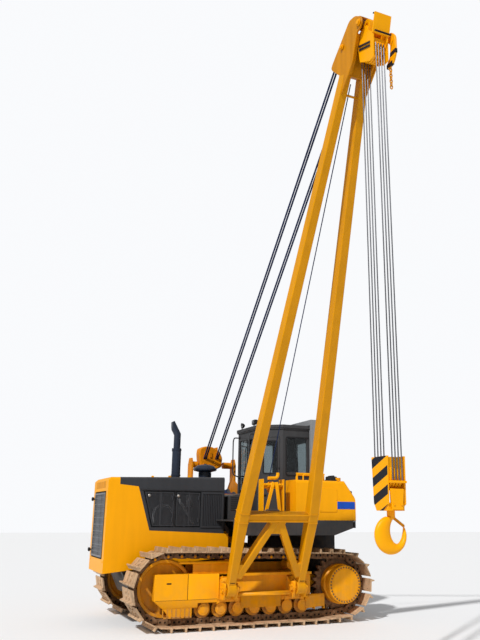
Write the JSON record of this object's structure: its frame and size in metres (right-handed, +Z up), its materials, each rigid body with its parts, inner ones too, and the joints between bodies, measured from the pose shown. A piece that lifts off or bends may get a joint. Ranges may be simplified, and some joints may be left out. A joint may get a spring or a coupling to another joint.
{
  "type": "crawler pipelayer with side boom",
  "caption": "Crawler tractor with a tall A-frame side boom, multi-fall hook block, boom-hoist ropes, cab, hood with service doors and a swinging counterweight.",
  "frame": {"origin": "on the ground, midway between the tracks and midway between idler and sprocket", "axes": "+X forward to the radiator, +Y to the boom side (the machine's left), +Z up"},
  "size_m": [4.6472, 7.6952, 9.291],
  "materials": {
    "yellow_paint": "satin machine yellow, dusty at the bottom",
    "dark_grey_paint": "satin dark grey",
    "light_grey_paint": "satin light grey",
    "track_steel": "worn steel with dry earth",
    "roller_steel": "worn yellow with earth",
    "black_paint": "semi gloss black, heat dulled",
    "cast_grey": "bare cast, oily",
    "hoist_rope_steel": "greasy wire rope",
    "load_rope_steel": "wire rope",
    "sheave_steel": "greasy dark steel",
    "glass": "clear, faint green tint",
    "seat_fabric": "dark woven",
    "console_plastic": "grained",
    "lamp_housing": "moulded black"
  },
  "bodies": {
    "tractor": {"cab_glass": "glass", "cab_roof": "dark_grey_paint", "cab_shell": "dark_grey_paint", "consoles": "console_plastic", "cowl": "dark_grey_paint", "engine": "cast_grey", "exhaust": "black_paint", "front_cover_left": "yellow_paint", "front_cover_right": "yellow_paint", "fuel_tank": "yellow_paint", "hood_dark": "dark_grey_paint", "hood_yellow": "yellow_paint", "idler_left": "yellow_paint", "idler_right": "yellow_paint", "lamps": "lamp_housing", "lead_frame": "yellow_paint", "main_frame": "yellow_paint", "platform": "dark_grey_paint", "pre_cleaner": "black_paint", "radiator": "cast_grey", "rollers_left": "roller_steel", "rollers_right": "roller_steel", "rops": "light_grey_paint", "seat": "seat_fabric", "side_box_right": "yellow_paint", "sprocket_left": "yellow_paint", "sprocket_right": "yellow_paint", "track_frame_left": "yellow_paint", "track_frame_right": "yellow_paint", "track_left": "track_steel", "track_right": "track_steel", "winch_drums": "cast_grey", "winch_frame": "yellow_paint"},
    "boom": {"boom": "yellow_paint", "head_sheaves": "sheave_steel"},
    "tackle": {"upper_block": "yellow_paint", "falls": "load_rope_steel"},
    "hook_block": {"hook_block": "yellow_paint"},
    "hook": {"hook": "yellow_paint"},
    "hoist_block": {"hoist_block": "yellow_paint", "hoist_ropes": "hoist_rope_steel"},
    "load_line": {"load_line": "load_rope_steel"},
    "counterweight": {"counterweight": "yellow_paint"},
    "weight_barrel": {"weight_barrel": "yellow_paint"},
    "weight_rod": {"weight_rod": "yellow_paint"},
    "cab_door": {"cab_door": "dark_grey_paint", "cab_door_pane": "glass"},
    "grille_door": {"grille_door": "black_paint"},
    "engine_door_front_left": {"engine_door_front_left": "dark_grey_paint"},
    "engine_door_front_right": {"engine_door_front_right": "dark_grey_paint"},
    "engine_door_rear_left": {"engine_door_rear_left": "dark_grey_paint"},
    "engine_door_rear_right": {"engine_door_rear_right": "dark_grey_paint"}
  },
  "joints": [
    {"name": "boom_raise", "type": "hinge", "parent": "tractor", "child": "boom", "pos_m": [0, 1.6, 0.62], "axis": [1, 0, 0], "range_deg": [-52, 14], "deforming": ["hoist_ropes"]},
    {"name": "tackle_swing", "type": "hinge", "parent": "boom", "child": "tackle", "pos_m": [0, 5.33921, 8.79962], "axis": [1, 0, 0], "range_deg": [-14, 52]},
    {"name": "hook_lower", "type": "slide", "parent": "tackle", "child": "hook_block", "axis": [0, 0, -1], "range_m": [-5, 1.2], "deforming": ["falls"]},
    {"name": "hook_swivel", "type": "hinge", "parent": "hook_block", "child": "hook", "pos_m": [0, 5.33921, 1.8], "axis": [0, 0, 1], "continuous": true},
    {"name": "hoist_swing", "type": "hinge", "parent": "tractor", "child": "hoist_block", "pos_m": [0.085, -1.1, 2.76], "axis": [1, 0, 0], "range_deg": [-46, 13]},
    {"name": "load_line_swing", "type": "hinge", "parent": "tractor", "child": "load_line", "pos_m": [-0.27, 1.15, 2.25], "axis": [1, 0, 0], "range_deg": [-57, 16]},
    {"name": "counterweight_swing", "type": "hinge", "parent": "tractor", "child": "counterweight", "pos_m": [0, -1.64, 0.7], "axis": [1, 0, 0], "range_deg": [0, 30]},
    {"name": "barrel_swing", "type": "hinge", "parent": "tractor", "child": "weight_barrel", "pos_m": [0.69, -0.805, 1.85], "axis": [1, 0, 0], "range_deg": [0, 14]},
    {"name": "rod_slide", "type": "slide", "parent": "weight_barrel", "child": "weight_rod", "axis": [0, -0.9722, 0.234], "range_m": [0, 0.66]},
    {"name": "cab_door_hinge", "type": "hinge", "parent": "tractor", "child": "cab_door", "pos_m": [-0.35396, 0.53646, 2.5], "axis": [0, 0, -1], "range_deg": [0, 100]},
    {"name": "grille_hinge", "type": "hinge", "parent": "tractor", "child": "grille_door", "pos_m": [2.489, -0.465, 1.595], "axis": [0, 0, -1], "range_deg": [0, 110]},
    {"name": "engine_door_front_left_hinge", "type": "hinge", "parent": "tractor", "child": "engine_door_front_left", "pos_m": [1.32, 0.619, 1.86], "axis": [0, 0, 1], "range_deg": [0, 90]},
    {"name": "engine_door_front_right_hinge", "type": "hinge", "parent": "tractor", "child": "engine_door_front_right", "pos_m": [1.32, -0.619, 1.86], "axis": [0, 0, -1], "range_deg": [0, 90]},
    {"name": "engine_door_rear_left_hinge", "type": "hinge", "parent": "tractor", "child": "engine_door_rear_left", "pos_m": [0.84, 0.619, 1.86], "axis": [0, 0, 1], "range_deg": [0, 90]},
    {"name": "engine_door_rear_right_hinge", "type": "hinge", "parent": "tractor", "child": "engine_door_rear_right", "pos_m": [0.84, -0.619, 1.86], "axis": [0, 0, -1], "range_deg": [0, 90]}
  ],
  "couplings": [
    {"joint": "tackle_swing", "follows": "boom_raise", "ratio": -1},
    {"joint": "hoist_swing", "follows": "boom_raise", "ratio": 0.87},
    {"joint": "load_line_swing", "follows": "boom_raise", "ratio": 1.08},
    {"joint": "barrel_swing", "follows": "counterweight_swing", "ratio": 0.46},
    {"joint": "rod_slide", "follows": "counterweight_swing", "m_per_rad": 1.251}
  ]
}
